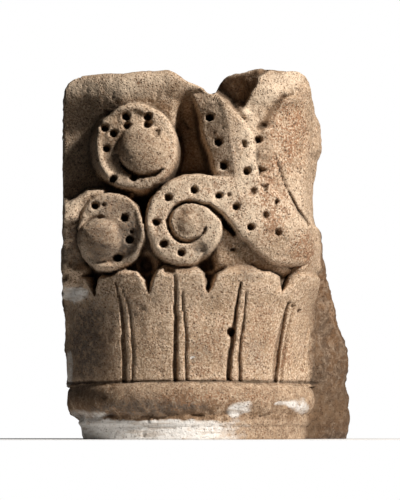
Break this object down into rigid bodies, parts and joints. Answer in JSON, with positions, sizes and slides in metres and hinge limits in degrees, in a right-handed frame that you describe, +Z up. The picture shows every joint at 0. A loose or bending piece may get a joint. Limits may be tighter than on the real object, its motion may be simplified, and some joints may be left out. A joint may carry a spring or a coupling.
{
  "type": "romanesque capital fragment",
  "caption": "Half-round carved stone capital with upright ribbed leaves over an astragal roll, drilled scroll bands above and a broken top corner; it crowned an engaged shaft.",
  "frame": {"origin": "middle of the footprint, on the flat bed that the block stands on", "axes": "+Z up, the carved front faces -Y, the rough wall side faces +Y, +X to the right as seen from the front"},
  "size_m": [0.301, 0.22, 0.37],
  "materials": {
    "limestone": "matte"
  },
  "bodies": {
    "root": {"capital": "limestone"}
  },
  "joints": []
}
